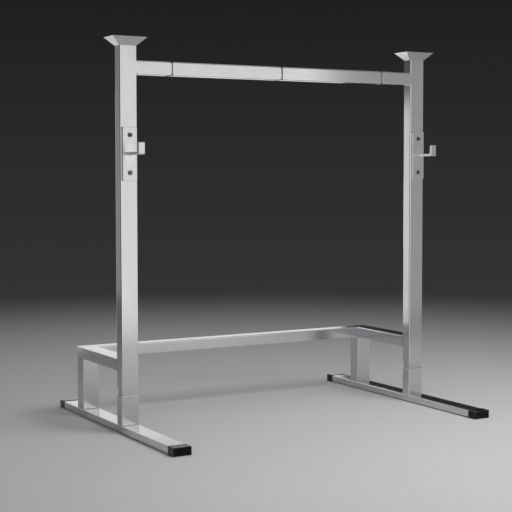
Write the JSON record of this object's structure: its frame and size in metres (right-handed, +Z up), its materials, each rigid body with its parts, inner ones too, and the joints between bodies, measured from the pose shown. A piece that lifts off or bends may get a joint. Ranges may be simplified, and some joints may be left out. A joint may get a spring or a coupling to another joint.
{
  "type": "squat stand",
  "caption": "Free-standing squat stand of rectangular steel tube: columns on long feet with flared tops and bolted J-hooks, tied by a sectional crossbar and a low rear frame.",
  "frame": {"origin": "on the floor, midway between the feet and midway along them, at the bottom centre of the bounding box", "axes": "+X to the right as seen by someone facing the hooks, +Y to the rear, +Z up; the hooks point along -Y"},
  "size_m": [1.265, 0.924, 1.2771],
  "materials": {
    "frame_steel": "satin silver",
    "spigot_steel": "plain drawn steel",
    "hook_steel": "satin silver",
    "fastener_steel": "dark oiled",
    "cap_plastic": "gloss black"
  },
  "bodies": {
    "root": {"left_foot_tube": "frame_steel", "left_foot_cap_front": "cap_plastic", "left_foot_cap_rear": "cap_plastic", "left_post_bolt": "fastener_steel", "left_post_nut_plate": "spigot_steel", "left_column_stub": "frame_steel", "left_column_spigot": "spigot_steel", "left_column_tube": "frame_steel", "left_column_lock_screw": "fastener_steel", "left_top_flare": "frame_steel", "left_flare_lid": "frame_steel", "left_hook_plate": "hook_steel", "left_j_hook": "hook_steel", "left_hook_bolt_upper": "fastener_steel", "left_hook_nut_upper": "spigot_steel", "left_hook_bolt_lower": "fastener_steel", "left_hook_nut_lower": "spigot_steel", "left_rear_post": "frame_steel", "left_side_rail": "frame_steel", "left_crossbar_stub": "frame_steel", "left_crossbar_tube": "frame_steel", "left_crossbar_spigot": "spigot_steel", "left_crossbar_screw_outer": "fastener_steel", "left_crossbar_screw_inner": "fastener_steel", "right_foot_tube": "frame_steel", "right_foot_cap_front": "cap_plastic", "right_foot_cap_rear": "cap_plastic", "right_post_bolt": "fastener_steel", "right_post_nut_plate": "spigot_steel", "right_column_stub": "frame_steel", "right_column_spigot": "spigot_steel", "right_column_tube": "frame_steel", "right_column_lock_screw": "fastener_steel", "right_top_flare": "frame_steel", "right_flare_lid": "frame_steel", "right_hook_plate": "hook_steel", "right_j_hook": "hook_steel", "right_hook_bolt_upper": "fastener_steel", "right_hook_nut_upper": "spigot_steel", "right_hook_bolt_lower": "fastener_steel", "right_hook_nut_lower": "spigot_steel", "right_rear_post": "frame_steel", "right_side_rail": "frame_steel", "right_crossbar_stub": "frame_steel", "right_crossbar_tube": "frame_steel", "right_crossbar_spigot": "spigot_steel", "right_crossbar_screw_outer": "fastener_steel", "right_crossbar_screw_inner": "fastener_steel", "rear_beam": "frame_steel", "crossbar_middle_spigot": "spigot_steel"}
  },
  "joints": []
}
